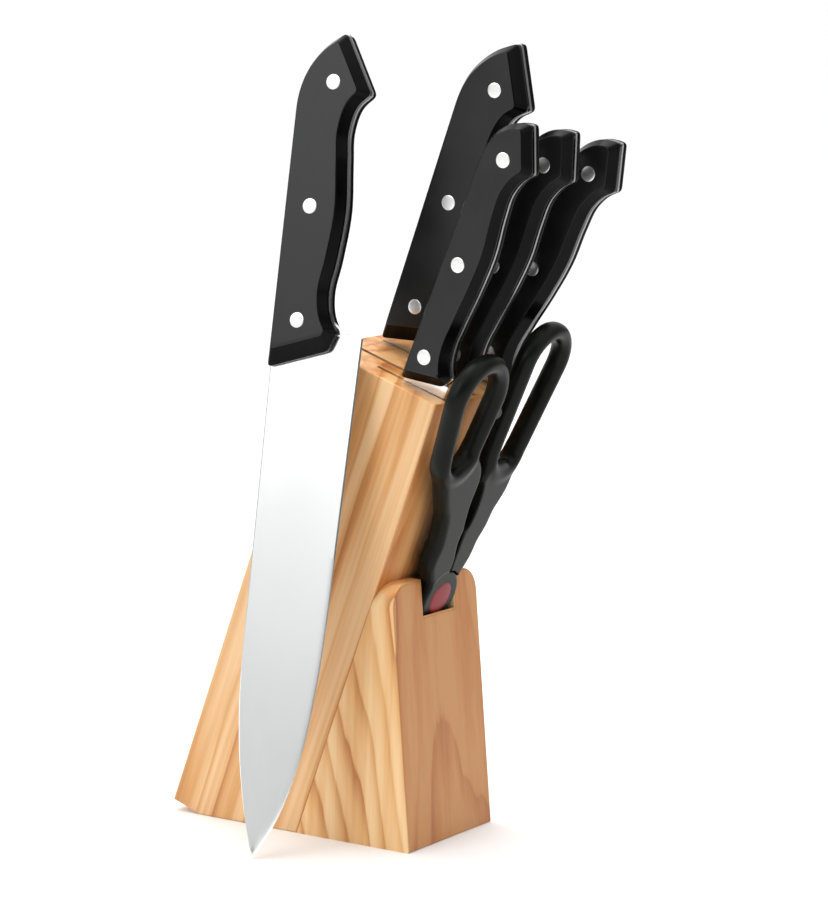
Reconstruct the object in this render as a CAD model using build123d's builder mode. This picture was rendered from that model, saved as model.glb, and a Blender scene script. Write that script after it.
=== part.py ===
"""Knife block with five knives and a pair of kitchen scissors.

Millimetres, +Z up, origin at the centre of the block's base. The block leans towards -Y,
where its foot and the scissors' notch are. X runs across the block's width.
"""
from build123d import *
from math import cos, radians, sin, sqrt, tan
import os

# ---- block ---------------------------------------------------------------------------------
BLOCK_WIDTH = 65.0
BASE_DEPTH = 102.4           # front of the foot to the back of the slab's foot print
LEAN = 18.5                  # the slab leans this far forward of upright, in degrees
SLAB_THICKNESS = 60.1
SLAB_LENGTH = 207.3          # along the slab, to its square-cut bottom end
SLAB_END = 14.3              # what is left of the square-cut end behind the level base
SEAM_X = 10.3                # the glued seams stand this far each side of the middle
EDGE_ROUND = 0.9             # eased edges of the wood

FOOT_HEIGHT = 107.2
FOOT_RAKE = 6.1              # the foot's front face leans back this far, in degrees
NOTCH_LEFT, NOTCH_RIGHT = -9.9, 14.8
NOTCH_FLOOR = 92.0
SHOULDER_ROUND = 10.0        # outer corners of the foot's two shoulders
SHOULDER_FLAT = 1.2
POCKET_DEPTH = 11.5          # square to the slab's front face
POCKET_BOTTOM = 178.5        # below the slab's top front edge, along the slab

# ---- slots: x centre, width, front and back distance from the slab's front face, depth -------
SMALL_SLOT_PITCH = 22.0
SMALL_SLOT_WIDTH = 2.2
SMALL_SLOT = (2.0, 36.0, 140.0)
LARGE_SLOT_WIDTH = 2.6
SLICER_SLOT = (22.5, 55.5, 197.0)
CHEF_SLOT = (12.5, 55.5, 190.0)
LARGE_SLOT_X = SEAM_X + LARGE_SLOT_WIDTH / 2

# ---- knives --------------------------------------------------------------------------------
RIVET_RADIUS = 3.15
RIVET_PROUD = 0.15
# name, slot x, first rivet's distance back and up from the slab's top front edge, lean of the
# handle in its loose slot, length from the first rivet to the point, depth of the heel
SMALL_KNIVES = (
    ("utility", -SMALL_SLOT_PITCH, 13.8, 14.3, 20.8, 133, 11.2),
    ("boning", 0, 12.9, 14.0, 24.2, 122, 10.6),
    ("paring", SMALL_SLOT_PITCH, 10.0, 13.8, 28.2, 100, 9.6),
)
BEVEL_IN, BEVEL_DEEP = 2.6, 4.3    # bevel of a scale's outer face: across it, and down its side

# ---- scissors ------------------------------------------------------------------------------
SCISSORS_LEAN = 20.5
PIVOT_X = 2.45
PIVOT_DROP = 85.0            # below the slab's top front edge, along the slab
PIVOT_OUT = 7.0              # the shear plane stands this far off the slab's front face
SHEAR_GAP = 0.15
BLADE_SHEET = 1.8
HANDLE_THICKNESS = 8.8
BOSS_RADIUS = 12.0
BOSS_FRONT = 3.9             # front of the boss, and back of the other one, off the shear plane
CAP_RADIUS = 7.2
PIN_RADIUS = 2.5
PIN_CLEARANCE = 0.05
BLADE_LENGTH = 88.0
BOSS_GAP = 0.4               # room around each boss for the other half to turn
MIDDLE_GAP = 0.25            # each arm stops this far from the middle line
PIN_HEAD_RADIUS, PIN_HEAD = 4.5, 1.0
CAP_SEAT, CAP_PROUD = 1.0, 0.4
TOOTH_COUNT = 7


def lean_axes(angle):
    """Unit vectors of a plane that stands at x = constant and leans forward by angle."""
    a = radians(angle)
    return Vector(0, cos(a), sin(a)), Vector(0, -sin(a), cos(a))


BACKWARD, UPWARD = lean_axes(LEAN)
SLAB_FOOT = Vector(0, BASE_DEPTH / 2, 0)     # where the level base meets the square-cut end
TOP_FRONT = SLAB_FOOT - BACKWARD * (SLAB_THICKNESS - SLAB_END) + UPWARD * SLAB_LENGTH


def slab_plane(x):
    """Plane at x: its own x runs back through the slab and its y up along the slab."""
    return Plane(origin=TOP_FRONT + Vector(x, 0, 0), x_dir=BACKWARD, z_dir=(1, 0, 0))


def slab_point(x, back, up):
    return TOP_FRONT + Vector(x, 0, 0) + BACKWARD * back + UPWARD * up


def save(part, name):
    part.label = name
    export_step(part, f"parts/{name}.step")


# ---- wooden block --------------------------------------------------------------------------
def slab_profile():
    """Side outline of the slab: square top, level base, square end behind the base."""
    inner_end = SLAB_THICKNESS - SLAB_END
    front_bottom = -SLAB_LENGTH + inner_end * tan(radians(LEAN))
    Polyline((0, 0), (SLAB_THICKNESS, 0), (SLAB_THICKNESS, -SLAB_LENGTH),
             (inner_end, -SLAB_LENGTH), (0, front_bottom), close=True)


def slot_profile(front, back, depth):
    """A slot's outline: its bottom runs level, like the block's base."""
    rise = (back - front) * tan(radians(LEAN))
    Polyline((front, 1), (back, 1), (back, -depth - rise / 2), (front, -depth + rise / 2), close=True)


def make_board(x_from, x_to, slots):
    """One board of the slab, with the slots given as (x, width, (front, back, depth))."""
    with BuildPart() as board:
        with BuildSketch(slab_plane(x_from)):
            with BuildLine():
                slab_profile()
            make_face()
        extrude(amount=x_to - x_from)
        top = board.faces().sort_by(Axis((0, 0, 0), tuple(UPWARD)))[-1]
        eased = top.edges().filter_by(Axis.X)
        if x_from < -SEAM_X:
            eased += board.edges().group_by(Axis.X)[0]
        if x_to > SEAM_X:
            eased += board.edges().group_by(Axis.X)[-1]
        fillet(eased, EDGE_ROUND)
        for x, width, outline in slots:
            with BuildSketch(slab_plane(x - width / 2)):
                with BuildLine():
                    slot_profile(*outline)
                make_face()
            extrude(amount=width, mode=Mode.SUBTRACT)
    return board.part


def make_foot():
    """Front foot: a wedge that fills the corner under the slab, with a notch for scissors."""
    half = BLOCK_WIDTH / 2
    front = -BASE_DEPTH / 2
    seam_bottom = TOP_FRONT.Y + TOP_FRONT.Z * tan(radians(LEAN))
    top_back = seam_bottom - FOOT_HEIGHT * tan(radians(LEAN))
    top_front = front + FOOT_HEIGHT * tan(radians(FOOT_RAKE))
    with BuildPart() as foot:
        with BuildSketch(Plane.YZ.offset(-half)):
            with BuildLine():
                Polyline((front, 0), (seam_bottom, 0), (top_back, FOOT_HEIGHT),
                         (top_front, FOOT_HEIGHT), close=True)
            make_face()
        extrude(amount=BLOCK_WIDTH)
        with BuildSketch(Plane.XZ.offset(BASE_DEPTH)) as outline:
            with BuildLine():
                Polyline((-half, 0), (-half, FOOT_HEIGHT), (NOTCH_LEFT, FOOT_HEIGHT),
                         (NOTCH_LEFT, NOTCH_FLOOR), (NOTCH_RIGHT, NOTCH_FLOOR),
                         (NOTCH_RIGHT, FOOT_HEIGHT), (half, FOOT_HEIGHT), (half, 0), close=True)
            make_face()
            crest = outline.vertices().group_by(Axis.Y)[-1].sort_by(Axis.X)
            fillet([crest[0], crest[3]], SHOULDER_ROUND)
            fillet(crest[1], NOTCH_LEFT + half - SHOULDER_ROUND - SHOULDER_FLAT)
            fillet(crest[2], half - NOTCH_RIGHT - SHOULDER_ROUND - SHOULDER_FLAT)
        extrude(amount=-2 * BASE_DEPTH, mode=Mode.INTERSECT)
        rim = foot.faces().sort_by(Axis.Y)[0].edges()
        fillet(rim, EDGE_ROUND)
        with BuildSketch(slab_plane(NOTCH_LEFT)):
            with Locations((-POCKET_DEPTH / 2, -POCKET_BOTTOM / 2)):
                Rectangle(POCKET_DEPTH, POCKET_BOTTOM)
        extrude(amount=NOTCH_RIGHT - NOTCH_LEFT, mode=Mode.SUBTRACT)
    return foot.part


# ---- knives --------------------------------------------------------------------------------
# A knife is drawn in its own plane: x up the handle from the rivet next to the blade, y from
# the spine towards the cutting edge. Its blade points to -x.
# Each handle's outline: spine, rounded butt, flat butt end, belly and slanted blade end.
LARGE_OUTLINE = dict(
    spine=((-19.5, -12.8), (84, -13)),
    butt=((84, -13), (100, -9.4), (108.8, -3), (115.3, 5.6)), butt_ends=((1, 0), (0.6, 0.8)),
    belly=((91.8, 19), (86.6, 13.9), (77, 11.2), (64, 12.1), (45, 13.8), (25, 12.2), (11, 10.4),
           (3, 11.9), (-3.2, 15.8)), belly_ends=((-0.8, -0.6), (-0.75, 0.65)),
    blade_end=(-11.1, 12.7))
SMALL_OUTLINE = dict(
    spine=((-13.2, -8.7), (80, -8.8)),
    butt=((80, -8.8), (94, -5.9), (99.7, -0.8), (102.6, 7.2)), butt_ends=((1, 0), (0.2, 1)),
    belly=((84.9, 14.9), (81, 11.7), (74, 9.1), (64, 9.3), (49, 10.9), (32, 10.3), (17, 8.9),
           (7, 8.4), (0.5, 9.6), (-4.4, 12.2)), belly_ends=((-0.8, -0.6), (-0.8, 0.6)),
    blade_end=(-8.7, 9.9))
LARGE = dict(tang=1.8, scale=6.7, rivets=((0, 0), (45.4, 0), (95.1, 4.2)), outline=LARGE_OUTLINE)
SMALL = dict(tang=1.5, scale=6.2, rivets=((0, 0), (40.1, 0), (86.1, 2.8)), outline=SMALL_OUTLINE)
OUTLINE_STEPS = 8           # flats along each curved stretch of a handle


def steps_along(points, tangents):
    """Evenly spaced points on the smooth curve through points."""
    curve = Spline(*points, tangents=tangents, mode=Mode.PRIVATE)
    return [curve @ (k / OUTLINE_STEPS) for k in range(OUTLINE_STEPS + 1)]


def handle_outline(outline):
    butt = steps_along(outline["butt"], outline["butt_ends"])
    belly = steps_along(outline["belly"], outline["belly_ends"])
    Polyline(outline["spine"][0], *butt, *belly, outline["blade_end"], close=True)


def chef_blade():
    """Broad blade with a dropped heel: its edge curves up to the point."""
    Line((-10, -12.8), (-128, -11))
    Spline((-128, -11), (-160, -9.2), (-190, -3.9), (-213.9, 3.5), tangents=((-1, 0.02), (-0.93, 0.37)))
    Spline((-213.9, 3.5), (-199, 11.6), (-175, 19), (-146, 22.9), (-110, 24.6),
           tangents=((0.88, 0.47), (1, 0.03)))
    Line((-110, 24.6), (-4.4, 26.2))
    Spline((-4.4, 26.2), (-3.4, 20), (2, 12.5), tangents=((0.05, -1), (0.9, -0.45)))
    Line((2, 12.5), (-10, -12.8))


def slicer_blade():
    """Narrower, nearly parallel blade."""
    Line((-10, -12.8), (-165, -11.5))
    Spline((-165, -11.5), (-190, -8.5), (-209, -1.5), tangents=((-1, 0.02), (-0.85, 0.5)))
    Spline((-209, -1.5), (-195, 9), (-160, 15.5), tangents=((0.65, 0.75), (1, 0.08)))
    Line((-160, 15.5), (-11, 17.2))
    Line((-11, 17.2), (-6, 8))
    Line((-6, 8), (-10, -12.8))


def small_blade(length, heel):
    """Slim pointed blade: length from the first rivet to the point, and depth of its heel."""
    belly = heel - 1.5
    Line((-8, -8.8), (-0.55 * length, -8.4))
    Spline((-0.55 * length, -8.4), (-0.82 * length, -6), (-length, -0.5),
           tangents=((-1, 0), (-0.9, 0.4)))
    Spline((-length, -0.5), (-0.87 * length, belly - 4), (-0.6 * length, belly),
           tangents=((0.75, 0.65), (1, 0.08)))
    Line((-0.6 * length, belly), (-8.4, heel))
    Line((-8.4, heel), (-5, 5))
    Line((-5, 5), (-8, -8.8))


def make_blade(plane, style, outline, edge_at):
    """Blade and full tang from one sheet: ground from the spine to the edge at y = edge_at."""
    half = style["tang"] / 2
    spine = style["outline"]["spine"][0][1]
    with BuildPart(plane) as blade:
        with BuildSketch(plane.offset(-half)):
            with BuildLine():
                outline()
            make_face()
        extrude(amount=2 * half)
        grind = Plane(origin=plane.origin, x_dir=plane.y_dir, z_dir=-plane.x_dir)
        with BuildSketch(grind):
            with BuildLine():
                Polyline((spine, half), (edge_at, 0.25), (edge_at, -0.25), (spine, -half), close=True)
            make_face()
        extrude(amount=260, both=True, mode=Mode.INTERSECT)
        with BuildSketch(plane.offset(-half)):
            with BuildLine():
                handle_outline(style["outline"])
            make_face()
        extrude(amount=2 * half)
        with BuildSketch(plane.offset(-half)):
            with Locations(*style["rivets"]):
                Circle(RIVET_RADIUS)
        extrude(amount=2 * half, mode=Mode.SUBTRACT)
    return blade.part


def make_scale(plane, style, side):
    """One of the handle's two scales: bevelled all round, with a longer bevel at the blade."""
    half, depth = style["tang"] / 2, style["scale"]
    with BuildPart() as scale:
        with BuildSketch(plane.offset(side * half)):
            with BuildLine():
                handle_outline(style["outline"])
            make_face()
        extrude(amount=side * depth)
        outer = scale.faces().sort_by(Axis((0, 0, 0), tuple(plane.z_dir * side)))[-1]
        chamfer(outer.edges(), length=BEVEL_IN, length2=BEVEL_DEEP, reference=outer)
        with BuildSketch(plane.offset(side * half)):
            with Locations(*style["rivets"]):
                Circle(RIVET_RADIUS)
        extrude(amount=side * depth, mode=Mode.SUBTRACT)
    return scale.part


def make_rivets(plane, style):
    """Three rivets through both scales, with slightly domed ends."""
    reach = style["tang"] / 2 + style["scale"]
    with BuildPart() as rivets:
        with BuildSketch(plane.offset(-reach - RIVET_PROUD)):
            with Locations(*style["rivets"]):
                Circle(RIVET_RADIUS)
        extrude(amount=2 * (reach + RIVET_PROUD))
        chamfer(rivets.edges().filter_by(GeomType.CIRCLE), RIVET_PROUD, 3 * RIVET_PROUD)
    return rivets.part


def save_knife(name, plane, style, outline, edge_at):
    save(make_blade(plane, style, outline, edge_at), f"{name}_blade")
    save(make_scale(plane, style, -1), f"{name}_left_scale")
    save(make_scale(plane, style, 1), f"{name}_right_scale")
    save(make_rivets(plane, style), f"{name}_rivets")


def slotted_plane(x, back, up, lean):
    """Plane of a knife in its slot: first rivet at (x, back, up), handle leaning by lean."""
    backward, upward = lean_axes(lean)
    return Plane(origin=slab_point(x, back, up), x_dir=upward, z_dir=(1, 0, 0))


def propped_plane():
    """Plane of the chef's knife: point on the table, handle against the block's top corner."""
    point = Vector(-77.2, -5.8, 0.45)        # where the blade's point stands
    lean, turn, roll = radians(10.2), radians(6.9), radians(0.7)
    outward = Vector(-cos(lean) * cos(turn), -cos(lean) * sin(turn), sin(lean))
    level = Vector(sin(turn), -cos(turn), 0)
    rising = outward.cross(level)
    upward = rising * cos(roll) + level * sin(roll)
    edgeward = level * cos(roll) - rising * sin(roll)
    origin = point + upward * 213.9 - edgeward * 3.5
    return Plane(origin=origin, x_dir=upward, z_dir=-outward)


# ---- scissors ------------------------------------------------------------------------------
# Drawn in their own plane: x across the block, y up the scissors from the pivot. The plane's
# normal points forward, away from the slab.
def scissors_plane():
    backward, upward = lean_axes(SCISSORS_LEAN)
    pivot = slab_point(PIVOT_X, -PIVOT_OUT, -PIVOT_DROP)
    return Plane(origin=pivot, x_dir=(1, 0, 0), z_dir=-backward)


# Each half's loop as two circles that a hull joins: (x, y, outer radius, hole radius)
THUMB_LOOP = ((-24.5, 91.5, 18.8, 11.0), (-24, 68, 13.8, 7.5))
FINGER_LOOP = ((19.5, 103, 17.4, 10.2), (14.0, 64.5, 13.8, 7.4))
# Each half's arm from its loop to the boss, as circles (x, y, radius) with hulls between them
THUMB_ARM = ((-24, 64, 11), (-14.5, 53, 11.2), (-8.6, 33, 7.2), (-8.2, 18, 7.6), (-1.5, 6, 8.5))
FINGER_ARM = ((14.0, 60.5, 11), (11.5, 50, 11.2), (8.8, 33, 8.0), (5, 20, 8.0), (1.5, 8, 8.0))
CRACKER = (42.0, 3.4, 11.0)      # nutcracker's opening between the arms: y, half width, half height


def circles_hull(*circles):
    """Hull of circles given as (x, y, radius)."""
    with BuildSketch() as hull:
        for x, y, radius in circles:
            with Locations((x, y)):
                Circle(radius)
        make_hull()
    return hull.sketch


def handle_sketch(loop, arm):
    """One moulded handle: a finger loop, an arm that narrows to a waist, and a round boss."""
    (x1, y1, outer1, hole1), (x2, y2, outer2, hole2) = loop
    with BuildSketch() as handle:
        add(circles_hull((x1, y1, outer1), (x2, y2, outer2)))
        for upper, lower in zip(arm, arm[1:]):
            add(circles_hull(upper, lower))
        Circle(BOSS_RADIUS)
        add(circles_hull((x1, y1, hole1), (x2, y2, hole2)), mode=Mode.SUBTRACT)
        cracker_y, half_width, half_height = CRACKER
        with Locations((0, cracker_y)):
            Ellipse(half_width, half_height, mode=Mode.SUBTRACT)
    return handle.sketch


def steel_sketch(side):
    """Blade below the pivot, and above it a tang whose toothed edge faces the other half."""
    cracker_y, cracker_half_width, cracker_half_height = CRACKER
    with BuildSketch() as steel:
        with BuildLine():
            Line((side * 4, -12), (side * 1.5, -BLADE_LENGTH))
            Line((side * 1.5, -BLADE_LENGTH), (-side * 2.5, -BLADE_LENGTH + 6))
            Line((-side * 2.5, -BLADE_LENGTH + 6), (-side * 9.5, -14))
            Line((-side * 9.5, -14), (-side * 8.5, 0))
            Line((-side * 8.5, 0), (side * 8.5, 0))
            Line((side * 8.5, 0), (side * 4, -12))
        make_face()
        Circle(8.5)
        add(circles_hull((side * 2, 4, 6), (side * 6.2, cracker_y + 13, 5.5)))
        with Locations((0, cracker_y)):
            Ellipse(cracker_half_width - 0.6, cracker_half_height - 0.6, mode=Mode.SUBTRACT)
        for k in range(TOOTH_COUNT):
            lift = (k - (TOOTH_COUNT - 1) / 2) / (TOOTH_COUNT / 2)
            reach = (cracker_half_width - 0.6) * sqrt(1 - lift * lift)
            y = cracker_y + lift * (cracker_half_height - 0.6)
            with Locations((side * (reach + 0.2), y)):
                Polygon((0, -1.2), (0, 1.2), (-side * 1.2, 0), align=None)
    return steel.sketch


def make_steel(plane, side):
    """One half's sheet steel; the left half's sheet lies in front of the shear plane."""
    with BuildPart() as steel:
        with BuildSketch(plane.offset(SHEAR_GAP / 2 if side < 0 else -SHEAR_GAP / 2 - BLADE_SHEET)):
            add(steel_sketch(side))
            add(other_side(side), mode=Mode.SUBTRACT)
            Circle(PIN_RADIUS + (0 if side < 0 else PIN_CLEARANCE), mode=Mode.SUBTRACT)
        extrude(amount=BLADE_SHEET)
    return steel.part


def other_side(side):
    """Everything beyond the middle line above the pivot, but for the boss: the other half's room."""
    with BuildSketch() as room:
        with Locations((-side * (60 - MIDDLE_GAP), 60)):
            Rectangle(120, 120)
        Circle(BOSS_RADIUS, mode=Mode.SUBTRACT)
    return room.sketch


def make_handle(plane, side, loop, arm, steel):
    """Moulded handle around its steel: full thickness outside, half of it at the crossing."""
    half = HANDLE_THICKNESS / 2
    with BuildPart() as handle:
        with BuildSketch(plane.offset(-half)):
            add(handle_sketch(loop, arm))
            add(other_side(side), mode=Mode.SUBTRACT)
        extrude(amount=HANDLE_THICKNESS)
        with BuildSketch(plane.offset(side * -SHEAR_GAP / 2)):
            Circle(BOSS_RADIUS + BOSS_GAP)
        extrude(amount=side * HANDLE_THICKNESS, mode=Mode.SUBTRACT)
        with BuildSketch(plane.offset(-side * BOSS_FRONT)):
            Circle(BOSS_RADIUS + BOSS_GAP)
        extrude(amount=-side * HANDLE_THICKNESS, mode=Mode.SUBTRACT)
        seat_radius, seat_depth = (CAP_RADIUS, CAP_SEAT) if side < 0 else (PIN_HEAD_RADIUS, PIN_HEAD)
        clearance = 0 if side < 0 else PIN_CLEARANCE
        with BuildSketch(plane.offset(-side * (BOSS_FRONT - seat_depth - clearance))):
            Circle(seat_radius + clearance)
        extrude(amount=-side * 5, mode=Mode.SUBTRACT)
        with BuildSketch(plane.offset(-half)):
            Circle(PIN_RADIUS + clearance)
        extrude(amount=HANDLE_THICKNESS, mode=Mode.SUBTRACT)
        add(steel, mode=Mode.SUBTRACT)
    return handle.part


def make_pin(plane):
    """Pivot pin: a flat head behind the rear boss, its other end under the red cap."""
    length = 2 * BOSS_FRONT - CAP_SEAT
    with BuildPart() as pin:
        with BuildSketch(plane.offset(-BOSS_FRONT)):
            Circle(PIN_RADIUS)
        extrude(amount=length)
        with BuildSketch(plane.offset(-BOSS_FRONT)):
            Circle(PIN_HEAD_RADIUS)
        extrude(amount=PIN_HEAD)
    return pin.part


def make_cap(plane):
    """Low domed cap that covers the pin, set into the front boss."""
    with BuildPart() as cap:
        with BuildSketch(plane.offset(BOSS_FRONT - CAP_SEAT)):
            Circle(CAP_RADIUS)
        extrude(amount=CAP_SEAT + CAP_PROUD)
        fillet(cap.faces().sort_by(Axis((0, 0, 0), tuple(plane.z_dir)))[-1].edges(), CAP_PROUD)
    return cap.part


def save_scissors():
    plane = scissors_plane()
    pin, cap = make_pin(plane), make_cap(plane)
    for side, name, loop, arm in ((-1, "thumb", THUMB_LOOP, THUMB_ARM),
                                  (1, "finger", FINGER_LOOP, FINGER_ARM)):
        steel = make_steel(plane, side)
        save(steel, f"scissors_{name}_blade")
        save(make_handle(plane, side, loop, arm, steel), f"scissors_{name}_handle")
    save(pin, "scissors_pivot_pin")
    save(cap, "scissors_pivot_cap")


def save_all():
    os.makedirs("parts", exist_ok=True)
    small_left = (-SMALL_SLOT_PITCH, SMALL_SLOT_WIDTH, SMALL_SLOT)
    small_middle = (0, SMALL_SLOT_WIDTH, SMALL_SLOT)
    small_right = (SMALL_SLOT_PITCH, SMALL_SLOT_WIDTH, SMALL_SLOT)
    chef = (-LARGE_SLOT_X, LARGE_SLOT_WIDTH, CHEF_SLOT)
    slicer = (LARGE_SLOT_X, LARGE_SLOT_WIDTH, SLICER_SLOT)
    half = BLOCK_WIDTH / 2
    save(make_board(-half, -SEAM_X, [small_left, chef]), "left_board")
    save(make_board(-SEAM_X, SEAM_X, [small_middle]), "middle_board")
    save(make_board(SEAM_X, half, [small_right, slicer]), "right_board")
    save(make_foot(), "foot_block")
    save_knife("chef", propped_plane(), LARGE, chef_blade, 27)
    save_knife("slicer", slotted_plane(LARGE_SLOT_X, 42.4, 20.9, LEAN), LARGE, slicer_blade, 18)
    for name, x, back, up, lean, length, heel in SMALL_KNIVES:
        save_knife(name, slotted_plane(x, back, up, lean), SMALL,
                   lambda: small_blade(length, heel), heel + 1)
    save_scissors()


save_all()
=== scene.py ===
"""Look of a knife block: wooden slab and foot, five riveted knives and kitchen scissors.

Metres in Blender. The drawing functions work in millimetres and in each piece's own plane.
"""
import math

import bmesh
import bpy
import numpy as np
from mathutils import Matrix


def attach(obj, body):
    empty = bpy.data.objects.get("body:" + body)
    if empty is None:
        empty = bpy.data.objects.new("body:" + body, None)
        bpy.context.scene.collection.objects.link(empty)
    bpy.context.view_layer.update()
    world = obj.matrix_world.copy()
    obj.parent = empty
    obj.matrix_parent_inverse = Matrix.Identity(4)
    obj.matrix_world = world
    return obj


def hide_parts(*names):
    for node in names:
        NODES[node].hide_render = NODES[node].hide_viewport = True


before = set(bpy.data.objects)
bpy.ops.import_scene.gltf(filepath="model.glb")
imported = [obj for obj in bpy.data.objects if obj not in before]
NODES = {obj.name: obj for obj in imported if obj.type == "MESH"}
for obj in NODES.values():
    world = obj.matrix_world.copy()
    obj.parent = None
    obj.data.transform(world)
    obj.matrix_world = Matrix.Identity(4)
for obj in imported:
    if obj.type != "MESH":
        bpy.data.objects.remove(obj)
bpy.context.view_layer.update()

import openvdb
from mathutils import Matrix, Vector

MM = 0.001


# ---- planes ------------------------------------------------------------------------------------
def lean_axes(angle):
    """Unit vectors of a plane at x = constant that leans forward by angle: back and up."""
    a = math.radians(angle)
    return Vector((0, math.cos(a), math.sin(a))), Vector((0, -math.sin(a), math.cos(a)))


LEAN = 18.5
BASE_DEPTH = 102.4
SLAB_THICKNESS, SLAB_LENGTH, SLAB_END = 60.1, 207.3, 14.3
LARGE_SLOT_X = 11.6
SMALL_SLOT_PITCH = 22.0
BACKWARD, UPWARD = lean_axes(LEAN)
TOP_FRONT = (Vector((0, BASE_DEPTH / 2, 0)) - BACKWARD * (SLAB_THICKNESS - SLAB_END)
             + UPWARD * SLAB_LENGTH)


def slab_point(x, back, up):
    return TOP_FRONT + Vector((x, 0, 0)) + BACKWARD * back + UPWARD * up


class Frame:
    """A piece's own plane: x along first, y along second, z along their cross product."""

    def __init__(self, origin, first, normal):
        self.origin = Vector(origin)
        self.x = Vector(first).normalized()
        self.z = Vector(normal).normalized()
        self.y = self.z.cross(self.x)

    def at(self, x, y, z=0.0):
        return (self.origin + self.x * x + self.y * y + self.z * z) * MM


def slotted(x, back, up, lean):
    return Frame(slab_point(x, back, up), lean_axes(lean)[1], (1, 0, 0))


def propped():
    """The chef's knife: its point on the table, its handle against the block's top corner."""
    lean, turn, roll = map(math.radians, (10.2, 6.9, 0.7))
    outward = Vector((-math.cos(lean) * math.cos(turn), -math.cos(lean) * math.sin(turn),
                      math.sin(lean)))
    level = Vector((math.sin(turn), -math.cos(turn), 0))
    rising = outward.cross(level)
    upward = rising * math.cos(roll) + level * math.sin(roll)
    edgeward = level * math.cos(roll) - rising * math.sin(roll)
    origin = Vector((-77.2, -5.8, 0.45)) + upward * 213.9 - edgeward * 3.5
    return Frame(origin, upward, -outward)


SCISSORS_LEAN = 20.5
SCISSORS = Frame(slab_point(2.45, -7.0, -85.0), (1, 0, 0), -lean_axes(SCISSORS_LEAN)[0])


# ---- node materials ------------------------------------------------------------------------------
class Shader:
    """Short hand for building a material's nodes."""

    def __init__(self, name, colour, roughness, metallic=0.0):
        self.material = bpy.data.materials.new(name)
        self.material.use_nodes = True
        self.tree = self.material.node_tree
        self.out = self.tree.nodes["Principled BSDF"]
        self.out.inputs["Base Color"].default_value = (*colour, 1)
        self.out.inputs["Roughness"].default_value = roughness
        self.out.inputs["Metallic"].default_value = metallic

    def node(self, kind, **settings):
        node = self.tree.nodes.new(kind)
        for key, value in settings.items():
            setattr(node, key, value)
        return node

    def feed(self, node, **sockets):
        """Sets or links sockets: i0, i1 and so on by number, others by name."""
        for key, value in sockets.items():
            numbered = key[0] == "i" and key[1:].isdigit()
            which = int(key[1:]) if numbered else key.replace("_", " ")
            self.give(node.inputs[which], value)
        return node

    def give(self, socket, value):
        if isinstance(value, bpy.types.NodeSocket):
            self.tree.links.new(value, socket)
        else:
            socket.default_value = value

    def math(self, operation, a, b=0.0, c=0.0):
        node = self.feed(self.node("ShaderNodeMath", operation=operation), i0=a, i1=b, i2=c)
        return node.outputs[0]

    def noise(self, vector, scale, detail=3.0, roughness=0.5, distortion=0.0):
        node = self.node("ShaderNodeTexNoise")
        self.feed(node, Vector=vector, Scale=scale, Detail=detail, Roughness=roughness,
                  Distortion=distortion)
        return node.outputs[0]

    def mapped(self, vector, location=(0, 0, 0), rotation=(0, 0, 0), scale=(1, 1, 1)):
        node = self.node("ShaderNodeMapping")
        self.feed(node, Vector=vector, Location=location, Rotation=rotation, Scale=scale)
        return node.outputs[0]

    def ramp(self, value, stops, interpolation="LINEAR"):
        node = self.node("ShaderNodeValToRGB")
        node.color_ramp.interpolation = interpolation
        elements = node.color_ramp.elements
        while len(elements) < len(stops):
            elements.new(0.5)
        for element, (place, colour) in zip(elements, stops):
            element.position = place
            element.color = (*colour, 1) if len(colour) == 3 else colour
        self.feed(node, Fac=value)
        return node.outputs[0]

    def curve(self, value, *stops):
        """Grey ramp: stops of (place, level)."""
        return self.ramp(value, [(place, (level,) * 3) for place, level in stops])

    def mix(self, factor, a, b, blend="MIX"):
        node = self.node("ShaderNodeMix", data_type="RGBA", blend_type=blend)
        self.feed(node, i0=factor)
        for index, value in ((6, a), (7, b)):
            self.give(node.inputs[index], value if isinstance(value, bpy.types.NodeSocket)
                      else (*value, 1))
        return node.outputs[2]

    def bump(self, height, strength, distance):
        node = self.node("ShaderNodeBump")
        self.feed(node, Height=height, Strength=strength, Distance=distance)
        self.tree.links.new(node.outputs[0], self.out.inputs["Normal"])

    def coordinates(self, kind):
        return self.node("ShaderNodeTexCoord").outputs[kind]

    def finish(self, **sockets):
        self.feed(self.out, **sockets)
        return self.material


def srgb(red, green, blue):
    def linear(v):
        v /= 255
        return v / 12.92 if v <= 0.04045 else ((v + 0.055) / 1.055) ** 2.4
    return tuple(linear(v) for v in (red, green, blue))


# warm, lighter tint for the sawn top: partly end grain colour, partly painted light
SAWN_LIGHT_TINT = (1.35, 1.15, 0.92)


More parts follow.
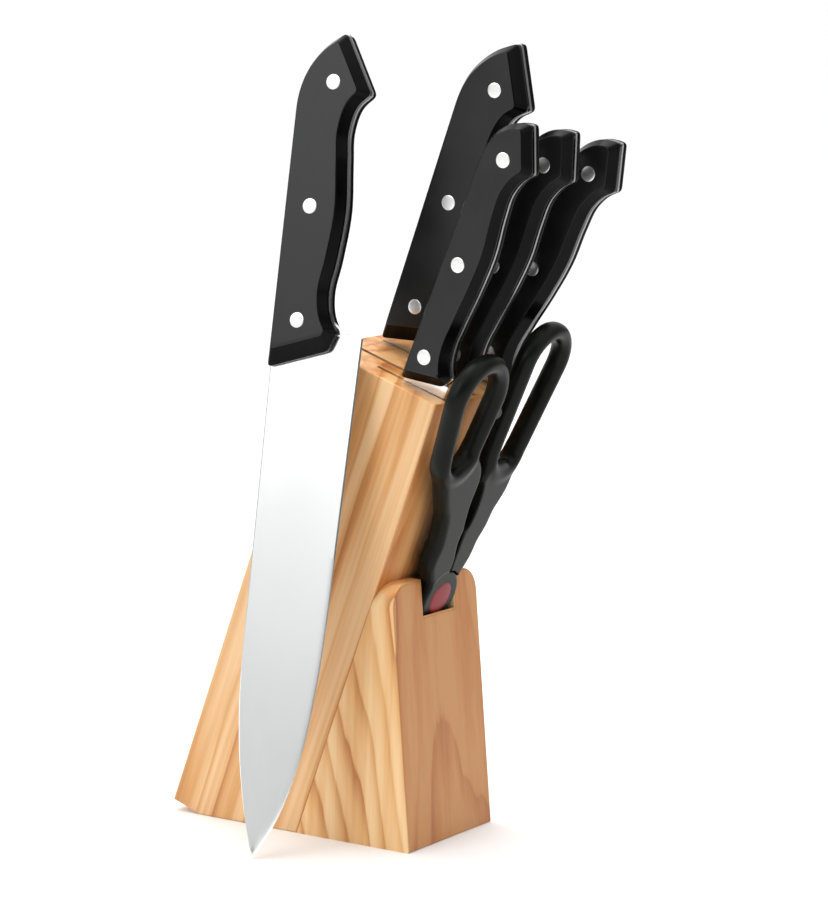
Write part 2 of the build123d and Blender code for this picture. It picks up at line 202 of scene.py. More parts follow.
def wood(name, pith, ring, seed, tones, front_shade_tint, lean=LEAN, taper=0.0, wobble=5.0,
         contrast=0.6, banding=2.4):
    """Solid pine: rings round a pith that runs up the piece, sharp at their late side.

    pith is (x, back) in mm in the piece's own axes, ring the mean ring width in mm, and tones the
    light, middle and dark colours. Faces that look forward are multiplied by the front tint, which is
    partly the wood's own colour and partly painted shade, and the sawn top by a warm, lighter tint
    that is partly end grain colour and partly painted light.
    """
    s = Shader(name, tones[0], 0.42)
    metres = s.coordinates("Object")
    own = s.mapped(metres, rotation=(math.radians(-lean), 0, 0), scale=(1000, 1000, 1000))
    slow = s.mapped(own, location=(seed, seed * 1.7, seed), scale=(0.022, 0.022, 0.0045))
    sway = s.node("ShaderNodeTexNoise", noise_dimensions="3D")
    s.feed(sway, Vector=slow, Scale=1.0, Detail=2.0, Roughness=0.45)
    offset = s.node("ShaderNodeVectorMath", operation="MULTIPLY_ADD")
    s.feed(offset, i0=sway.outputs["Color"], i1=(4 * wobble, 4 * wobble, 0),
           i2=(-2 * wobble, -2 * wobble, 0))
    moved = s.node("ShaderNodeVectorMath", operation="ADD")
    s.feed(moved, i0=own, i1=offset.outputs[0])
    split = s.node("ShaderNodeSeparateXYZ")
    s.feed(split, Vector=moved.outputs[0])
    across = s.math("SUBTRACT", split.outputs[0], pith[0])
    deep = s.math("SUBTRACT", split.outputs[1], pith[1])
    radius = s.math("SQRT", s.math("ADD", s.math("MULTIPLY", across, across),
                                   s.math("MULTIPLY", deep, deep)))
    radius = s.math("MULTIPLY_ADD", split.outputs[2], taper, radius)
    fine_wave = s.noise(s.mapped(own, location=(0, seed, 0), scale=(0.12, 0.12, 0.012)), 1.0, 2.0)
    radius = s.math("MULTIPLY_ADD", fine_wave, ring * 0.5, radius)
    uneven = s.noise(s.mapped(own, location=(seed, 0, 0), scale=(0.03, 0.03, 0.0015)), 1.0, 1.0)
    turns = s.math("MULTIPLY_ADD", uneven, 1.6, s.math("DIVIDE", radius, ring))
    part = s.math("FRACT", turns)
    late = s.curve(part, (0.0, 0.55), (0.07, 0.12), (0.3, 0.0), (0.62, 0.28), (0.86, 0.75),
                   (0.97, 1.0), (1.0, 0.6))
    number = s.node("ShaderNodeTexWhiteNoise", noise_dimensions="1D")
    s.feed(number, W=s.math("FLOOR", turns))
    late = s.math("MULTIPLY", late, s.math("MULTIPLY_ADD", number.outputs[0], 0.7, 0.4))
    fibre = s.noise(s.mapped(own, scale=(2.6, 2.6, 0.035)), 1.0, 4.0, 0.6)
    streak = s.noise(s.mapped(own, location=(0, 0, seed), scale=(0.45, 0.45, 0.006)), 1.0, 3.0, 0.6)
    broad = s.noise(s.mapped(own, location=(seed, seed, 0), scale=(0.045, 0.045, 0.004)), 1.0, 2.0)
    bands = s.noise(s.mapped(own, location=(0, seed * 3, 0), scale=(0.10, 0.10, 0.0035)), 1.0, 2.0,
                    0.45, 0.3)
    tone = s.math("MULTIPLY", late, contrast)
    tone = s.math("ADD", tone, s.math("MULTIPLY_ADD", streak, 0.5, -0.25))
    tone = s.math("ADD", tone, s.math("MULTIPLY_ADD", broad, 0.8, -0.38))
    tone = s.math("ADD", tone, s.math("MULTIPLY_ADD", bands, banding, -0.475 * banding))
    tone = s.math("ADD", tone, s.math("MULTIPLY_ADD", fibre, 0.2, -0.10))
    colour = s.ramp(tone, [(0.0, tones[0]), (0.42, tones[1]), (1.0, tones[2])])
    facing = s.coordinates("Normal")
    front = s.node("ShaderNodeVectorMath", operation="DOT_PRODUCT")
    s.feed(front, i0=facing, i1=(0, -1, 0))
    # forward faces multiplied by the front tint: partly the wood's own colour, partly painted shade
    colour = s.mix(s.curve(front.outputs["Value"], (0.45, 0.0), (0.85, 1.0)), colour,
                   s.mix(1.0, colour, front_shade_tint, "MULTIPLY"))
    # sawn top lightened: partly end grain colour, partly painted light
    sawn = s.node("ShaderNodeVectorMath", operation="DOT_PRODUCT")
    s.feed(sawn, i0=facing, i1=tuple(lean_axes(lean)[1]))
    colour = s.mix(s.curve(sawn.outputs["Value"], (0.5, 0.0), (0.95, 1.0)), colour,
                   s.mix(1.0, colour, SAWN_LIGHT_TINT, "MULTIPLY"))
    pores = s.curve(s.noise(s.mapped(own, scale=(1.1, 1.1, 0.02)), 1.0, 2.0, 0.7),
                    (0.66, 0.0), (0.76, 1.0))
    colour = s.mix(s.math("MULTIPLY", pores, 0.16), colour, tones[2])
    grain = s.math("MULTIPLY_ADD", late, 0.35, s.math("MULTIPLY", fibre, 0.8))
    s.bump(grain, 0.12, 0.0004)
    rough = s.math("MULTIPLY_ADD", late, -0.08, s.math("MULTIPLY_ADD", fibre, 0.12, 0.40))
    return s.finish(Base_Color=colour, Roughness=rough, Specular_IOR_Level=0.4,
                    Coat_Weight=0.12, Coat_Roughness=0.35)


def steel(name, colour, roughness, lines=(0.05, 3.5, 1.0), depth=0.06, kind="UV"):
    """Ground steel: fine lines stretched along one direction, and faint cloudy patches."""
    s = Shader(name, colour, roughness, 1.0)
    place = s.coordinates(kind)
    if kind == "Object":
        place = s.mapped(place, rotation=(math.radians(-SCISSORS_LEAN), 0, 0),
                         scale=(1000, 1000, 1000))
    fine = s.noise(s.mapped(place, scale=lines), 1.0, 3.0, 0.65)
    cloud = s.noise(s.mapped(place, scale=(0.02, 0.02, 0.02)), 1.0, 3.0, 0.5)
    shade = s.curve(s.math("MULTIPLY_ADD", cloud, 0.5, s.math("MULTIPLY", fine, 0.5)),
                    (0.3, 0.94), (0.7, 1.0))
    s.bump(fine, depth, 0.0002)
    tint = s.mix(1.0, colour, shade, "MULTIPLY")
    rough = s.math("MULTIPLY_ADD", fine, 0.1, roughness - 0.05)
    return s.finish(Base_Color=tint, Roughness=rough, Anisotropic=0.3)


def plastic(name, colour, roughness, grain, depth, specular=0.5, coat=0.0):
    """Moulded plastic: a fine texture in its gloss and relief, and a slight colour drift."""
    s = Shader(name, colour, roughness)
    place = s.mapped(s.coordinates("Object"), scale=(1000, 1000, 1000))
    fine = s.noise(place, grain, 3.0, 0.6)
    slow = s.noise(place, 0.06, 2.0, 0.5)
    light = tuple(min(1, v * 1.25 + 0.002) for v in colour)
    dark = tuple(v * 0.8 for v in colour)
    shade = s.mix(s.curve(slow, (0.35, 0.0), (0.65, 1.0)), dark, light)
    s.bump(fine, depth, 0.0002)
    rough = s.math("MULTIPLY_ADD", slow, 0.1, s.math("MULTIPLY_ADD", fine, 0.08, roughness - 0.09))
    return s.finish(Base_Color=shade, Roughness=rough, Specular_IOR_Level=specular,
                    Coat_Weight=coat, Coat_Roughness=0.15)


PINE = (srgb(232, 192, 144), srgb(212, 156, 96), srgb(168, 102, 50))
FOOT_PINE = (srgb(242, 206, 156), srgb(228, 178, 118), srgb(188, 120, 62))
# tints for forward faces: partly the wood's own colour, partly painted shade
FRONT_SHADE_TINT = (0.84, 0.66, 0.48)
FOOT_FRONT_SHADE_TINT = (0.64, 0.43, 0.27)

WOODS = {
    "left_board": wood("left_board_wood", (-2.0, -58.0), 8.5, 3.1, PINE, FRONT_SHADE_TINT),
    "middle_board": wood("middle_board_wood", (4.0, 96.0), 7.0, 11.7, PINE, FRONT_SHADE_TINT),
    "right_board": wood("right_board_wood", (70.0, -30.0), 7.5, 23.4, PINE, FRONT_SHADE_TINT),
    "foot_block": wood("foot_wood", (6.0, 12.0), 6.0, 5.2, FOOT_PINE, FOOT_FRONT_SHADE_TINT,
                       lean=0.0, taper=0.16, wobble=4.0, contrast=0.85, banding=1.2),
}
BLADE_STEEL = steel("blade_steel", (0.86, 0.875, 0.87), 0.2, (0.05, 5.0, 1.0), 0.02)
SHEAR_STEEL = steel("shear_steel", (0.66, 0.66, 0.64), 0.32, (4.0, 0.4, 0.4), 0.08, "Object")
# tang steel: its darker colour is painted shade between the scales
TANG_SHADE_STEEL = steel("tang_shade_steel", (0.36, 0.36, 0.36), 0.4, (0.05, 5.0, 1.0), 0.02)
RIVET_STEEL = steel("rivet_steel", (0.88, 0.88, 0.87), 0.32, (1.2, 1.2, 1.2), 0.006, "Object")
BLACK_SCALE = plastic("black_scale", srgb(10, 10, 11), 0.34, 2.2, 0.04, 0.40)
# bevel copy of the scale plastic: polished, and darker in colour and gloss as painted shade
POLISHED_SHADED_SCALE = plastic("polished_shaded_scale", srgb(3, 3, 3), 0.2, 2.2, 0.015, 0.09)
GREEN_BLACK = plastic("green_black_plastic", srgb(13, 16, 12), 0.34, 3.0, 0.05, 0.13)
RASPBERRY = plastic("raspberry_plastic", srgb(130, 25, 34), 0.4, 1.5, 0.03, 0.24)


# ---- meshes ----------------------------------------------------------------------------------------
def place(name, verts, faces, material, body, replaced, slot, uv=None):
    """Makes a mesh piece from row frame metres and rides it on its body."""
    mesh = bpy.data.meshes.new(name)
    mesh.from_pydata([tuple(v) for v in verts], [], faces)
    mesh.update()
    mesh.materials.append(material)
    piece = bpy.data.objects.new(name, mesh)
    bpy.context.scene.collection.objects.link(piece)
    work = bmesh.new()
    work.from_mesh(mesh)
    bmesh.ops.recalc_face_normals(work, faces=work.faces)
    if uv:
        layer = work.loops.layers.uv.new("UVMap")
        work.verts.ensure_lookup_table()
        for face in work.faces:
            for loop in face.loops:
                loop[layer].uv = uv[loop.vert.index]
    work.to_mesh(mesh)
    work.free()
    mesh.shade_smooth()
    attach(piece, body)
    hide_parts(replaced)
    return piece


def unit(dx, dy):
    length = math.hypot(dx, dy) or 1.0
    return dx / length, dy / length


def curve_through(points, start, end, count):
    """Smooth curve through points, leaving along start and arriving along end."""
    chords = [math.dist(a, b) for a, b in zip(points, points[1:])]
    slopes = [unit(*start)]
    for i in range(1, len(points) - 1):
        before, after = chords[i - 1], chords[i]
        slope = []
        for k in (0, 1):
            left = (points[i][k] - points[i - 1][k]) / before
            right = (points[i + 1][k] - points[i][k]) / after
            slope.append((left * after + right * before) / (before + after))
        slopes.append(tuple(slope))
    slopes.append(unit(*end))
    dense = []
    for i, chord in enumerate(chords):
        for step in range(40):
            t = step / 40
            a, b = 2 * t ** 3 - 3 * t ** 2 + 1, t ** 3 - 2 * t ** 2 + t
            c, d = 3 * t ** 2 - 2 * t ** 3, t ** 3 - t ** 2
            dense.append(tuple(a * points[i][k] + b * chord * slopes[i][k] + c * points[i + 1][k]
                               + d * chord * slopes[i + 1][k] for k in (0, 1)))
    dense.append(tuple(points[-1]))
    return spaced(dense, count)


def spaced(line, count):
    """count + 1 points evenly spaced along a line of points."""
    places = np.array(line, float)
    run = np.r_[0, np.cumsum(np.hypot(*np.diff(places, axis=0).T))]
    wanted = np.linspace(0, run[-1], count + 1)
    return [(float(np.interp(w, run, places[:, 0])), float(np.interp(w, run, places[:, 1])))
            for w in wanted]


def shifted(line, distance):
    """A line of points moved to its left by distance, and made longer at both ends."""
    places = np.array(line, float)
    along = np.gradient(places, axis=0)
    along /= np.hypot(along[:, 0], along[:, 1])[:, None]
    moved = places + distance * np.c_[-along[:, 1], along[:, 0]]
    reach = 3 * distance + 2
    return np.vstack([moved[0] - along[0] * reach, moved, moved[-1] + along[-1] * reach])


def crossing(first, second):
    """Where two lines of points cross: the run number and share on each, nearest the corner."""
    best = None
    for i in range(len(first) - 2, -1, -1):
        p, r = first[i], first[i + 1] - first[i]
        for j in range(len(second) - 1):
            q, s = second[j], second[j + 1] - second[j]
            area = r[0] * s[1] - r[1] * s[0]
            if abs(area) < 1e-12:
                continue
            t = ((q[0] - p[0]) * s[1] - (q[1] - p[1]) * s[0]) / area
            u = ((q[0] - p[0]) * r[1] - (q[1] - p[1]) * r[0]) / area
            if 0 <= t <= 1 and 0 <= u <= 1:
                cost = (len(first) - i) + j
                if best is None or cost < best[0]:
                    best = (cost, i, j, p + r * t)
    return best[1:]


def inset_loop(sides, distances, counts, rounding):
    """Closed loop of the sides moved inward by their own distances, with eased corners."""
    lines = [shifted(side, distance) for side, distance in zip(sides, distances)]
    total = len(lines)
    joints = [crossing(lines[k], lines[(k + 1) % total]) for k in range(total)]
    loop = []
    for k, line in enumerate(lines):
        _, start_run, start = joints[k - 1]
        end_run, _, end = joints[k]
        trimmed = [tuple(start)] + [tuple(p) for p in line[start_run + 1:end_run + 1]] + [tuple(end)]
        loop += spaced(trimmed, counts[k])[:-1]
    loop = np.array(loop)
    for _ in range(rounding):
        loop = loop * 0.5 + (np.roll(loop, 1, 0) + np.roll(loop, -1, 0)) * 0.25
    return loop


def skin(rings):
    """Faces between rings of the same length, whose vertices follow each other, and both ends."""
    size = len(rings[0])
    faces = []
    for k in range(len(rings) - 1):
        for i in range(size):
            j = (i + 1) % size
            faces.append((k * size + i, k * size + j, (k + 1) * size + j, (k + 1) * size + i))
    last = (len(rings) - 1) * size
    faces.append(tuple(range(size - 1, -1, -1)))
    faces.append(tuple(range(last, last + size)))
    return faces


# ---- knives ----------------------------------------------------------------------------------------
class Style:
    """A handle's outline and thicknesses, x up the handle and y from spine to belly."""

    def __init__(self, spine, butt, butt_ends, belly, belly_ends, blade_end, tang, scale, rivets,
                 bevels, counts):
        butt_curve = curve_through(butt, *butt_ends, 48)
        belly_curve = curve_through(belly, *belly_ends, 110)
        straight = spaced([spine[0], spine[1]], 90)
        self.sides = [straight[:-1] + butt_curve, spaced([butt_curve[-1], belly_curve[0]], 26),
                      belly_curve, spaced([belly_curve[-1], blade_end], 10),
                      spaced([blade_end, spine[0]], 28)]
        self.counts = counts
        self.tang, self.scale, self.rivets, self.bevels = tang, scale, rivets, bevels
        self.low_line = self.sides[0]
        self.high_line = (self.sides[1] + self.sides[2][1:])[::-1]


LARGE = Style(
    spine=((-19.5, -12.8), (84, -13)),
    butt=((84, -13), (100, -9.4), (108.8, -3), (115.3, 5.6)), butt_ends=((1, 0), (0.6, 0.8)),
    belly=((91.8, 19), (86.6, 13.9), (77, 11.2), (64, 12.1), (45, 13.8), (25, 12.2), (11, 10.4),
           (3, 11.9), (-3.2, 15.8)), belly_ends=((-0.8, -0.6), (-0.75, 0.65)),
    blade_end=(-11.1, 12.7), tang=1.8, scale=6.7, rivets=((0, 0), (45.4, 0), (95.1, 4.2)),
    bevels=(2.3, 3.0, 2.7, 3.2, 6.0), counts=(140, 26, 110, 10, 28))
SMALL = Style(
    spine=((-13.2, -8.7), (80, -8.8)),
    butt=((80, -8.8), (94, -5.9), (99.7, -0.8), (102.6, 7.2)), butt_ends=((1, 0), (0.2, 1)),
    belly=((84.9, 14.9), (81, 11.7), (74, 9.1), (64, 9.3), (49, 10.9), (32, 10.3), (17, 8.9),
           (7, 8.4), (0.5, 9.6), (-4.4, 12.2)), belly_ends=((-0.8, -0.6), (-0.8, 0.6)),
    blade_end=(-8.7, 9.9), tang=1.5, scale=6.2, rivets=((0, 0), (40.1, 0), (86.1, 2.8)),
    bevels=(2.2, 2.4, 2.5, 2.2, 3.8), counts=(130, 22, 110, 8, 24))

# rings of a scale, from the tang outward: height and how much of the bevel's inset
SCALE_RINGS = ((0.0, 0.0), (2.0, 0.0), (2.3, 0.008), (2.52, 0.04), (2.75, 0.1),
               (4.5, 0.51), (6.1, 0.885), (6.38, 0.945), (6.58, 0.995), (6.67, 1.06), (6.7, 1.16),
               (6.7, 1.32))


def add_scale(name, plane, style, side, body):
    """One bevelled scale: a satin flat face, with a ring of its own, and polished bevels whose darker
    colour and weaker gloss are painted shade.
    """
    rings, rise = [], style.scale / 6.7
    for height, share in SCALE_RINGS:
        distances = [max(bevel * share, 0.0) for bevel in style.bevels]
        loop = inset_loop(style.sides, distances, style.counts, 3)
        offset = side * (style.tang / 2 + height * rise)
        rings.append([plane.at(u, w, offset) for u, w in loop])
    verts = [v for ring in rings for v in ring]
    piece = place(f"{name}_handle_scale", verts, skin(rings), BLACK_SCALE, body,
                  name, "black_scale")
    outward = (plane.at(0, 0, 1) - plane.at(0, 0, 0)).normalized()
    piece.data.materials.append(POLISHED_SHADED_SCALE)
    # bevel faces take the polished copy, darkened as painted shade
    for face in piece.data.polygons:
        face.material_index = int(abs(face.normal.dot(outward)) < 0.97)


def add_rivets(name, plane, style, body):
    """Three rivets with gently domed, rounded ends."""
    reach = style.tang / 2 + style.scale
    radius, segments = 3.15, 48
    profile = [(0.5, 0.16), (1.6, 0.14), (2.5, 0.10), (2.9, 0.05), (3.08, -0.02), (3.15, -0.12)]
    half = [(r, reach + rise) for r, rise in profile]
    profile = half + [(r, -h) for r, h in reversed(half)]
    verts, faces = [], []
    for u, w in style.rivets:
        start = len(verts)
        rings = []
        for r, h in profile:
            rings.append([plane.at(u + r * math.cos(2 * math.pi * k / segments),
                                   w + r * math.sin(2 * math.pi * k / segments), h)
                          for k in range(segments)])
        verts += [v for ring in rings for v in ring]
        faces += [tuple(i + start for i in face) for face in skin(rings)]
    place(f"{name}_rivet_set", verts, faces, RIVET_STEEL, body, f"{name}_rivets",
          "rivet_steel")


def line_at(line, u):
    """Height of a left-to-right line of points at u."""
    return float(np.interp(u, [p[0] for p in line], [p[1] for p in line]))


TANG_INSET = 0.12
EDGE_BEVEL = 0.7
EDGE_HALF = 0.04
BLADE_SHARPNESS = 14            # edges that turn more than this shade sharp, in degrees


def add_blade(name, plane, style, spine_line, edge_line, heel, body):
    """Blade and tang as one skin of cross-sections, from the point to the handle's butt."""
    low = sorted(spine_line) + [p for p in style.low_line if p[0] > far_end(spine_line)]
    high = sorted(edge_line) + [p for p in style.high_line if p[0] > far_end(edge_line)]
    point, butt = low[0][0], style.sides[0][-1][0]
    step = 1.2
    tang_start = heel + 8               # from here the tang lies between the scales
    stations = list(np.arange(point + 0.05, heel - 0.4, step))
    stations[:0] = [point, point + 0.02]
    stations += list(np.arange(heel - 0.3, tang_start, 0.3)) + list(np.arange(tang_start, butt, step))
    stations.append(butt)
    half_tang = style.tang / 2
    shares = [0, 0.015, 0.06, 0.14, 0.24, 0.36, 0.48, 0.6, 0.72, 0.84, 0.93, 1.0]
    rings, uv = [], []
    for u in stations:
        w_low, w_high = line_at(low, u), line_at(high, u)
        if u > tang_start:
            w_low, w_high = w_low + TANG_INSET, w_high - TANG_INSET
        wide = max(w_high - w_low, 0.02)
        in_blade = min(max((heel + 0.2 - u) / 0.4, 0), 1)
        taper = 1 - 0.35 * max(0, (heel - u) / (heel - point)) ** 1.5
        bevel = min(EDGE_BEVEL, wide * 0.12)
        section = []
        for share in shares:
            w = w_low + (wide - bevel) * share
            ground = half_tang * taper * (1 - max(0, (share - 0.1) / 0.9) * 0.72)
            flat = half_tang
            if share == 0:
                ground, flat = ground - min(0.22, wide * 0.1), half_tang - 0.15
            section.append((w, in_blade * ground + (1 - in_blade) * flat))
        edge_half = in_blade * EDGE_HALF + (1 - in_blade) * (half_tang - 0.15)
        section.append((w_high, edge_half))
        if wide < 1.5:
            section = [(w, min(h, 0.05 + wide * 0.3)) for w, h in section]
        front = [plane.at(u, w, h) for w, h in section]
        rear = [plane.at(u, w, -h) for w, h in reversed(section)]
        rings.append(front + rear)
        uv += [(u, w) for w, _ in section] + [(u, w) for w, _ in reversed(section)]
    verts = [v for ring in rings for v in ring]
    piece = place(f"{name}_steel", verts, skin(rings), BLADE_STEEL, body, f"{name}_blade",
                  "blade_steel", uv)
    paint_tang_shade(piece, uv, heel)
    sharpen(piece, BLADE_SHARPNESS)


def far_end(line):
    return max(p[0] for p in line)


def paint_tang_shade(piece, uv, heel):
    """Gives the tang, which is all in shade between the scales, a rougher steel whose darker colour is
    painted shade.
    """
    piece.data.materials.append(TANG_SHADE_STEEL)
    for face in piece.data.polygons:
        if min(uv[v][0] for v in face.vertices) > heel + 4:
            face.material_index = 1


def sharpen(piece, angle):
    """Shades smooth except over edges that turn more than angle."""
    piece.data.set_sharp_from_angle(angle=math.radians(angle))


def chef_lines():
    spine = curve_through(((-213.9, 3.5), (-190, -3.9), (-160, -9.2), (-128, -11)),
                          (0.93, -0.37), (1, -0.02), 90)[:-1] + [(-128, -11), (-19.5, -12.8)]
    edge = curve_through(((-213.9, 3.5), (-199, 11.6), (-175, 19), (-146, 22.9), (-110, 24.6)),
                         (0.88, 0.47), (1, 0.03), 110)
    heel = [(-4.4, 26.2), (-4.1, 22.6), (-3.5, 19.6), (-2.5, 17.3), (-1.0, 15.2), (0.4, 13.6)]
    return spine, edge + heel, -4.4


def slicer_lines():
    spine = curve_through(((-209, -1.5), (-190, -8.5), (-165, -11.5)), (0.85, -0.5), (1, -0.02),
                          60)[:-1] + [(-165, -11.5), (-19.5, -12.8)]
    edge = curve_through(((-209, -1.5), (-195, 9), (-160, 15.5)), (0.65, 0.75), (1, 0.08), 60)
    return spine, edge + [(-11, 17.2), (-9.8, 14.5), (-8.5, 13.4)], -11.0


def small_lines(length, heel):
    belly = heel - 1.5
    spine = curve_through(((-length, -0.5), (-0.82 * length, -6), (-0.55 * length, -8.4)),
                          (0.9, -0.4), (1, 0), 60)[:-1] + [(-0.55 * length, -8.4), (-13.2, -8.7)]
    edge = curve_through(((-length, -0.5), (-0.87 * length, belly - 4), (-0.6 * length, belly)),
                         (0.75, 0.65), (1, 0.08), 60)
    return spine, edge + [(-8.4, heel), (-7.6, 10.4)], -8.4


def add_knife(name, plane, style, lines, body):
    add_blade(name, plane, style, *lines, body)
    add_scale(f"{name}_left_scale", plane, style, -1, body)
    add_scale(f"{name}_right_scale", plane, style, 1, body)
    add_rivets(name, plane, style, body)


add_knife("chef", propped(), LARGE, chef_lines(), "chef_knife")
add_knife("slicer", slotted(LARGE_SLOT_X, 42.4, 20.9, LEAN), LARGE, slicer_lines(), "slicing_knife")
for knife, x, back, up, lean, length, heel_depth in (
        ("utility", -SMALL_SLOT_PITCH, 13.8, 14.3, 20.8, 133, 11.2),
        ("boning", 0, 12.9, 14.0, 24.2, 122, 10.6),
        ("paring", SMALL_SLOT_PITCH, 10.0, 13.8, 28.2, 100, 9.6)):
    add_knife(knife, slotted(x, back, up, lean), SMALL, small_lines(length, heel_depth),
              f"{knife}_knife")


# ---- scissors --------------------------------------------------------------------------------------
VOXEL = 0.45
BOSS_RADIUS = 12.0
BOSS_ROOM = BOSS_RADIUS + 0.4       # cleared round the other half's boss
BOSS_FRONT = 3.9                    # face of each boss, off the shear plane
HALF_SHEAR_GAP = 0.075
MIDDLE_GAP = 0.25
CRACKER_Y, CRACKER_HALF_WIDTH, CRACKER_HALF_HEIGHT = 42.0, 3.4, 11.0


def capsule(x, y, first, second):
    """Distance to the hull of two circles given as (x, y, radius)."""
    (x1, y1, r1), (x2, y2, r2) = first, second
    length = math.hypot(x2 - x1, y2 - y1)
    ux, uy = (x2 - x1) / length, (y2 - y1) / length
    along = (x - x1) * ux + (y - y1) * uy
    side = np.abs(-(x - x1) * uy + (y - y1) * ux)
    slope = (r1 - r2) / length
    level = math.sqrt(1 - slope * slope)
    reach = along * level - side * slope
    between = side * level + along * slope - r1
    start = np.hypot(side, along) - r1
    finish = np.hypot(side, along - length) - r2
    return np.where(reach < 0, start, np.where(reach > length * level, finish, between))


def rounded(flat, z, half, edge):
    """Outline distance flat given a thickness of 2 half and round edges."""
    a, b = flat + edge, np.abs(z) - half + edge
    return np.minimum(np.maximum(a, b), 0) + np.hypot(np.maximum(a, 0), np.maximum(b, 0)) - edge


def blended(a, b, size):
    """Union with a fillet of about size."""
    mix = np.maximum(size - np.abs(a - b), 0) / size
    return np.minimum(a, b) - mix * mix * size / 4


def handle_field(side, loop, arm, x, y, z):
    """Signed distance, in mm, to one moulded handle."""
    (x1, y1, outer1, hole1), (x2, y2, outer2, hole2) = loop
    middle = capsule(x, y, (x1, y1, (outer1 + hole1) / 2), (x2, y2, (outer2 + hole2) / 2))
    band = np.interp(y, (y2, y1), ((outer2 - hole2) / 2, (outer1 - hole1) / 2))
    ring = (np.hypot(middle / band, z / 4.4) - 1) * np.minimum(band, 4.4) * 0.95
    flat = capsule(x, y, arm[0], arm[1])
    flat = np.maximum(flat, 1.5 - capsule(x, y, (x1, y1, hole1), (x2, y2, hole2)))
    for upper, lower in zip(arm[1:], arm[2:]):
        flat = blended(flat, capsule(x, y, upper, lower), 5.0)
    body = blended(ring, rounded(flat, z, 4.1, 2.6), 1.8)
    if side < 0:
        bump = np.sqrt((x + 5.9) ** 2 + ((y - 84) * 0.7) ** 2 + (z * 0.7) ** 2) - 2.6
        body = blended(body, bump, 2.0)
    radius = np.hypot(x, y)
    behind = side * z                   # positive behind the shear plane on the thumb side
    boss = np.hypot(np.maximum(radius - 11.0, 0), np.maximum(-behind - 2.9, 0)) - 1.0
    body = blended(body, np.maximum(boss, np.maximum(radius - BOSS_RADIUS,
                                                -behind - BOSS_FRONT)), 1.6)
    body = np.maximum(body, np.minimum(BOSS_ROOM - radius, behind + HALF_SHEAR_GAP))
    body = np.maximum(body, np.minimum(BOSS_ROOM - radius, -behind - BOSS_FRONT))
    over = np.minimum(MIDDLE_GAP - side * x, radius - BOSS_RADIUS)
    body = np.maximum(body, np.where(y > 0, over, radius - BOSS_RADIUS))
    inside = np.hypot(x / CRACKER_HALF_WIDTH, (y - CRACKER_Y) / CRACKER_HALF_HEIGHT)
    cracker = CRACKER_HALF_WIDTH - CRACKER_HALF_WIDTH * inside
    return np.maximum(body, cracker)


def add_handle(name, side, loop, arm, body):
    xs = np.arange(-45.5, 45.5, VOXEL)
    ys = np.arange(-14.0, 123.0, VOXEL)
    zs = np.arange(-6.0, 6.0, VOXEL)
    x, y, z = np.meshgrid(xs, ys, zs, indexing="ij")
    field = np.clip(handle_field(side, loop, arm, x, y, z), -1.5, 1.5).astype(np.float32)
    grid = openvdb.FloatGrid(1.5)
    grid.copyFromArray(field)
    points, quads = grid.convertToQuads(isovalue=0.0)
    points = points * VOXEL + np.array((xs[0], ys[0], zs[0]))
    verts = [SCISSORS.at(*p) for p in points.tolist()]
    piece = place(f"{name}_moulding", verts, [tuple(q) for q in quads.tolist()], GREEN_BLACK, body,
                  name, "dark_green_plastic")
    smooth = piece.modifiers.new("ease", "SMOOTH")
    smooth.factor, smooth.iterations = 0.5, 4
    with bpy.context.temp_override(object=piece, active_object=piece):
        bpy.ops.object.modifier_apply(modifier=smooth.name)


def add_cap():
    """Low domed cap over the pivot."""
    profile = [(0.6, 4.35), (3.0, 4.3), (5.2, 4.18), (6.5, 4.05), (7.0, 3.9), (7.2, 3.6), (7.2, 2.95)]
    rings = [[SCISSORS.at(r * math.cos(2 * math.pi * k / 72), r * math.sin(2 * math.pi * k / 72), h)
              for k in range(72)] for r, h in profile]
    verts = [v for ring in rings for v in ring]
    place("pivot_cap_dome", verts, skin(rings), RASPBERRY, "scissors_thumb_half",
          "scissors_pivot_cap", "red_plastic")


add_handle("scissors_thumb_handle", -1, ((-24.5, 91.5, 18.8, 11.0), (-24, 68, 13.8, 7.5)),
           ((-24, 64, 11), (-14.5, 53, 11.2), (-8.6, 33, 7.2), (-8.2, 18, 7.6), (-1.5, 6, 8.5)),
           "scissors_thumb_half")
add_handle("scissors_finger_handle", 1, ((19.5, 103, 17.4, 10.2), (14.0, 64.5, 13.8, 7.4)),
           ((14.0, 60.5, 11), (11.5, 50, 11.2), (8.8, 33, 8.0), (5, 20, 8.0), (1.5, 8, 8.0)),
           "scissors_finger_half")
add_cap()


# ---- CAD nodes that stay -----------------------------------------------------------------------------
def dress(node, material):
    mesh = NODES[node].data
    mesh.materials.clear()
    mesh.materials.append(material)


for node, material in WOODS.items():
    dress(node, material)
for node in ("scissors_thumb_blade", "scissors_finger_blade"):
    dress(node, SHEAR_STEEL)
dress("scissors_pivot_pin", RIVET_STEEL)


# ---- stage -------------------------------------------------------------------------------------------
def add_floor():
    mesh = bpy.data.meshes.new("floor")
    size = 90.0
    mesh.from_pydata([(-size, -size, 0), (size, -size, 0), (size, size, 0), (-size, size, 0)], [],
                     [(0, 1, 2, 3)])
    floor = bpy.data.objects.new("floor", mesh)
    bpy.context.scene.collection.objects.link(floor)
    s = Shader("floor_white", (0.9, 0.9, 0.9), 0.9)
    shade = s.curve(s.noise(s.coordinates("Object"), 0.4, 2.0), (0.3, 0.93), (0.7, 0.95))
    mesh.materials.append(s.finish(Base_Color=shade, Specular_IOR_Level=0.0))


# dark flags in the studio: direction, where each starts and is full, and what it leaves
WORLD_FLAGS = (((-0.80, -0.58, 0.12), 0.68, 0.92, 0.10), ((0.80, -0.58, 0.12), 0.60, 0.95, 0.30))


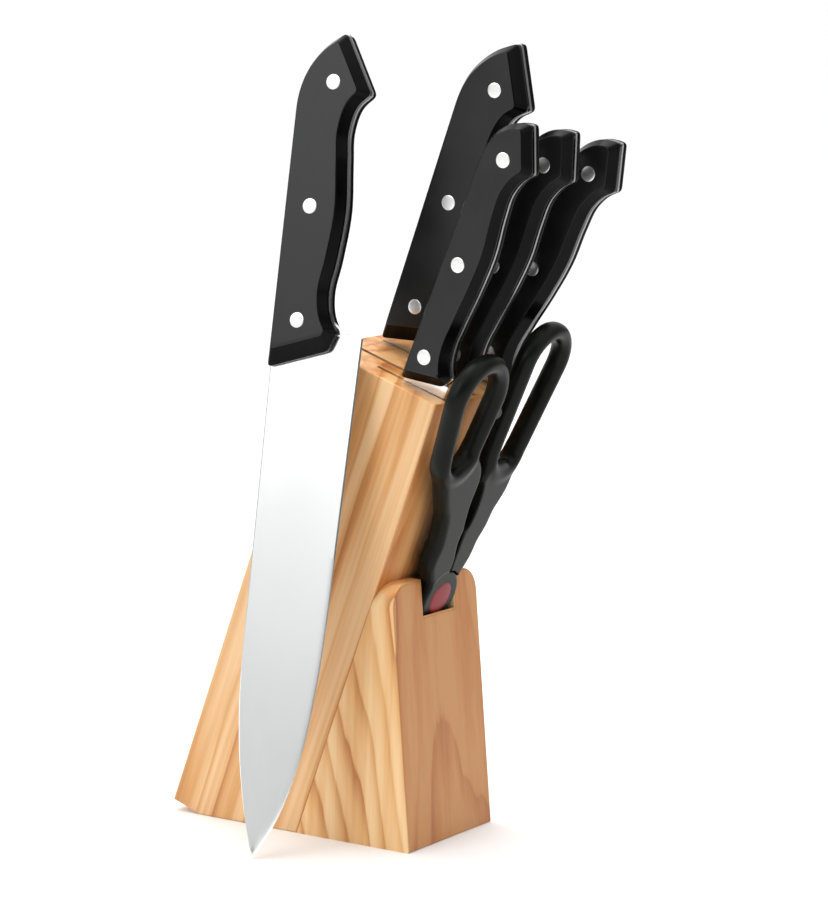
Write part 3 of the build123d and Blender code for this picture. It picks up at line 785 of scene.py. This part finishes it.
def add_world():
    """White studio room: darker towards the level of the horizon and at its two dark flags."""
    world = bpy.data.worlds.new("studio")
    bpy.context.scene.world = world
    world.use_nodes = True
    nodes, links = world.node_tree.nodes, world.node_tree.links
    back = nodes["Background"]
    place_node = nodes.new("ShaderNodeTexCoord")
    split = nodes.new("ShaderNodeSeparateXYZ")
    ramp = nodes.new("ShaderNodeValToRGB")
    elements = ramp.color_ramp.elements
    elements[0].position, elements[0].color = 0.02, (0.33, 0.35, 0.34, 1)
    elements[1].position, elements[1].color = 1.0, (1.15, 1.15, 1.15, 1)
    for height, level in ((0.09, 0.49), (0.13, 0.90), (0.19, 1.0), (0.5, 0.95)):
        elements.new(height).color = (level, level, level, 1)
    links.new(place_node.outputs["Generated"], split.inputs[0])
    links.new(split.outputs[2], ramp.inputs[0])
    light = ramp.outputs[0]
    for direction, start, full, level in WORLD_FLAGS:
        toward = nodes.new("ShaderNodeVectorMath")
        toward.operation = "DOT_PRODUCT"
        toward.inputs[1].default_value = direction
        dark = nodes.new("ShaderNodeMapRange")
        dark.interpolation_type = "SMOOTHSTEP"
        dark.inputs["From Min"].default_value, dark.inputs["From Max"].default_value = start, full
        dark.inputs["To Min"].default_value, dark.inputs["To Max"].default_value = 1.0, level
        dim = nodes.new("ShaderNodeVectorMath")
        dim.operation = "SCALE"
        links.new(place_node.outputs["Generated"], toward.inputs[0])
        links.new(toward.outputs["Value"], dark.inputs["Value"])
        links.new(light, dim.inputs[0])
        links.new(dark.outputs[0], dim.inputs["Scale"])
        light = dim.outputs[0]
    links.new(light, back.inputs[0])
    back.inputs[1].default_value = 1.2


def add_light(name, place_at, target, size, power):
    data = bpy.data.lights.new(name, "AREA")
    data.shape, data.size, data.size_y = "RECTANGLE", size[0], size[1]
    data.energy = power
    lamp = bpy.data.objects.new(name, data)
    lamp.location = place_at
    lamp.rotation_euler = (Vector(target) - Vector(place_at)).to_track_quat("-Z", "Y").to_euler()
    bpy.context.scene.collection.objects.link(lamp)


def add_camera():
    data = bpy.data.cameras.new("camera")
    data.lens, data.sensor_width = 143.44, 36.0
    data.clip_start, data.clip_end = 0.1, 300.0
    back = Vector((-0.84285865, -0.51693018, 0.14957434))
    right = Vector((0.52610369, -0.84999024, 0.02704635))
    camera = bpy.data.objects.new("camera", data)
    turn = Matrix((right, back.cross(right), back)).transposed().to_4x4()
    camera.matrix_world = Matrix.Translation((-1.22364, -0.77887, 0.37482)) @ turn
    bpy.context.scene.collection.objects.link(camera)
    bpy.context.scene.camera = camera


add_floor()
add_world()
add_light("key", (-1.5, 0.5, 1.0), (0, 0, 0.12), (0.9, 0.9), 5.0)
add_light("top", (0.2, 0.3, 1.9), (0, 0, 0), (1.6, 1.6), 18.0)
add_camera()
bpy.context.scene.view_settings.view_transform = "Standard"
